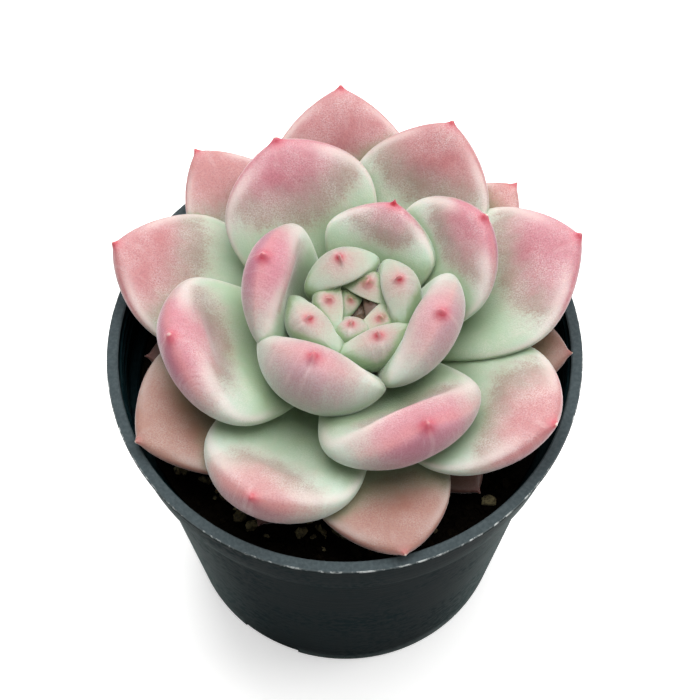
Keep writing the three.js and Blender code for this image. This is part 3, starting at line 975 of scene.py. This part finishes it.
profile = [
    (0, 0),
    (BASE_RADIUS - 1.0, 0),
    (BASE_RADIUS - 0.3, 0.2),
    (BASE_RADIUS, 0.8),
]
for i in range(1, 12):
    profile.append((mix(BASE_RADIUS, WAIST_RADIUS, i / 12), mix(0.8, skirt_z - 0.4, i / 12)))
profile += [
    (WAIST_RADIUS, skirt_z - 0.4),
    (WAIST_RADIUS + 0.35, skirt_z),
    (SKIRT_FOOT_RADIUS - 0.5, skirt_z),
    (SKIRT_FOOT_RADIUS - 0.1, skirt_z + 0.15),
    (SKIRT_FOOT_RADIUS, skirt_z + 0.6),
    (mix(SKIRT_FOOT_RADIUS, SKIRT_TOP_RADIUS, 0.5), mix(skirt_z, POT_HEIGHT - LIP_THICKNESS, 0.5)),
    (SKIRT_TOP_RADIUS, POT_HEIGHT - LIP_THICKNESS - 0.15),
    (SKIRT_TOP_RADIUS + 0.15, POT_HEIGHT - LIP_THICKNESS),
    (RIM_RADIUS - 0.2, POT_HEIGHT - LIP_THICKNESS),
    (RIM_RADIUS, POT_HEIGHT - LIP_THICKNESS + 0.2),
    (RIM_RADIUS, POT_HEIGHT - 0.3),
    (RIM_RADIUS - 0.12, POT_HEIGHT - 0.08),
    (RIM_RADIUS - 0.4, POT_HEIGHT),
    (RIM_RADIUS - 1.4, POT_HEIGHT - 0.06),
    (lip_inner + 0.3, POT_HEIGHT),
    (lip_inner, POT_HEIGHT - 0.25),
]
print("outside of the pot has", len(profile), "corners")

# %% The inside of the pot, with its fine rings
RING_HEIGHTS = (85.6, 83.0, 79.8)
for ring_z in RING_HEIGHTS:
    radius = mix(lip_inner, SKIRT_FOOT_RADIUS - WALL, (POT_HEIGHT - ring_z) / (POT_HEIGHT - LEDGE_Z))
    profile += [(radius, ring_z + 0.5), (radius - 0.35, ring_z + 0.3)]
    profile += [(radius - 0.35, ring_z), (radius - 0.05, ring_z - 0.2)]
profile += [
    (SKIRT_FOOT_RADIUS - WALL, LEDGE_Z + 0.5),
    (SKIRT_FOOT_RADIUS - WALL - 0.4, LEDGE_Z + 0.05),
    (pot_inside(LEDGE_Z) + 0.4, LEDGE_Z),
    (pot_inside(LEDGE_Z), LEDGE_Z - 0.4),
    (pot_inside(60), 60),
    (pot_inside(30), 30),
    (pot_inside(FLOOR), FLOOR),
    (0, FLOOR),
]
print("whole profile has", len(profile), "corners")

# %% Spin the profile
bm = bmesh.new()
corners = [bm.verts.new((r * MM, 0, z * MM)) for r, z in profile]
lines = [bm.edges.new(pair) for pair in zip(corners, corners[1:])]
bmesh.ops.spin(
    bm,
    geom=corners + lines,
    cent=(0, 0, 0),
    axis=(0, 0, 1),
    dvec=(0, 0, 0),
    angle=2 * math.pi,
    steps=180,
    use_merge=True,
)
bmesh.ops.remove_doubles(bm, verts=bm.verts[:], dist=1e-6)
bmesh.ops.recalc_face_normals(bm, faces=bm.faces[:])
print("the spun pot has", len(bm.faces), "faces")

# %% [markdown]
# ## Pot plastic
# The plastic is a very dark green-black, with a painted reflection of the pale room where it is seen at
# a slant. Thin rings run round it from the mould and dried water leaves smudges. The flat top of the lip
# is scuffed to grey, and its outer edge is worn pale in places.

# %% Pot patterns and masks
plastic = Finish("pot_plastic")
pot_place = plastic.add("ShaderNodeTexCoord").outputs["Object"]
pot_rings = plastic.add("ShaderNodeMapping")
pot_rings.inputs["Scale"].default_value = (0.12, 0.12, 1.0)
plastic.join(pot_place, pot_rings.inputs["Vector"])
pot_axes = plastic.add("ShaderNodeSeparateXYZ")
plastic.join(pot_place, pot_axes.inputs["Vector"])
ring_lines = plastic.noise(pot_rings.outputs["Vector"], 900, 3, 0.6)
smudge = powder(plastic, pot_place, 45, 700, 0.55)
scratch = plastic.noise(pot_place, 380, 5, 0.75)

pot_x, pot_y, pot_z = (pot_axes.outputs[k] for k in ("X", "Y", "Z"))
pot_r = plastic.math("SQRT", plastic.math("ADD", plastic.times(pot_x, pot_x), plastic.times(pot_y, pot_y)))
at_edge = plastic.times(
    plastic.span(pot_r, (RIM_RADIUS - 0.26) * MM, (RIM_RADIUS - 0.10) * MM),
    plastic.span(pot_z, (POT_HEIGHT - 0.9) * MM, (POT_HEIGHT - 0.1) * MM),
)
on_lip = plastic.times(
    plastic.span(pot_r, (lip_inner - 0.3) * MM, (lip_inner + 0.1) * MM),
    plastic.span(pot_z, (POT_HEIGHT - 0.6) * MM, (POT_HEIGHT - 0.15) * MM),
)
hairline = plastic.noise(pot_place, 1400, 2, 0.5)
print("pot masks take", len(plastic.tree.nodes), "nodes so far")

# %% Pot colours and gloss
slant = plastic.add("ShaderNodeLayerWeight").outputs["Facing"]
# Painted reflection: a pale grey where the pot is seen at a slant, broken up by the scratch noise.
painted_slant_reflection = plastic.times(plastic.span(slant, 0.80, 1.0, 0.0, 0.7), scratch)
scuffed = plastic.times(on_lip, plastic.span(hairline, 0.30, 0.75, 0.42, 0.58))
worn = plastic.times(at_edge, plastic.span(scratch, 0.50, 0.62, 0.05, 0.80))
pot_color = plastic.paint(ring_lines, screen_color("020b0e"), "06171a")
pot_color = plastic.paint(smudge, pot_color, "1a2a2d")
pot_color = plastic.paint(painted_slant_reflection, pot_color, "728583")
pot_color = plastic.paint(scuffed, pot_color, "5d676a")
pot_color = plastic.paint(worn, pot_color, "dfe4e2")
plastic.join(pot_color, plastic.shader.inputs["Base Color"])
plastic.join(plastic.span(smudge, 0.0, 0.5, 0.42, 0.62), plastic.shader.inputs["Roughness"])
plastic.fix({"Specular IOR Level": 0.01})
plastic.bump(plastic.math("ADD", ring_lines, plastic.times(scratch, 0.3)), 0.2, 0.00025)
print("pot plastic has", len(plastic.tree.nodes), "nodes")

# %% [markdown]
# Water drains through slots at the foot's edge. Each slot is a box that is taken out of the spun shape
# with a Boolean modifier, and the result is kept as a plain mesh. The boxes start a hundredth of their
# spacing round from the axis, because they do so in the solid too.

# %% Cut the drain slots and finish the pot
SLOT_COUNT = 3
SLOT_WIDTH = 14
SLOT_HEIGHT = 2.5
SLOT_DEPTH = 9
SLOT_START = 0.01
SHARP_ANGLE = 35
spun = piece_from(bm, "pot_spun", plastic.material)
cutters = bmesh.new()
for i in range(SLOT_COUNT):
    turn = Matrix.Rotation((i + SLOT_START) * 2 * math.pi / SLOT_COUNT, 4, "Z")
    place = Matrix.Translation(Vector((BASE_RADIUS + 0.5, 0, 0)) * MM)
    size = Matrix.Diagonal((SLOT_DEPTH * MM, SLOT_WIDTH * MM, 2 * SLOT_HEIGHT * MM, 1))
    bmesh.ops.create_cube(cutters, size=1, matrix=turn @ place @ size)
cutter = piece_from(cutters, "slot_cutters", plastic.material)
cut = spun.modifiers.new("slots", "BOOLEAN")
cut.object = cutter
cut.operation = "DIFFERENCE"
bpy.context.view_layer.update()
final = bpy.data.meshes.new_from_object(spun.evaluated_get(bpy.context.evaluated_depsgraph_get()))
final.name = "pot_moulding"
pot = bpy.data.objects.new("pot_moulding", final)
bpy.context.scene.collection.objects.link(pot)
for spare in (spun, cutter):
    bpy.data.objects.remove(spare)
final.set_sharp_from_angle(angle=math.radians(SHARP_ANGLE))
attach(pot, "root")
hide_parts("pot")
print("pot has", len(final.polygons), "faces")

# %% [markdown]
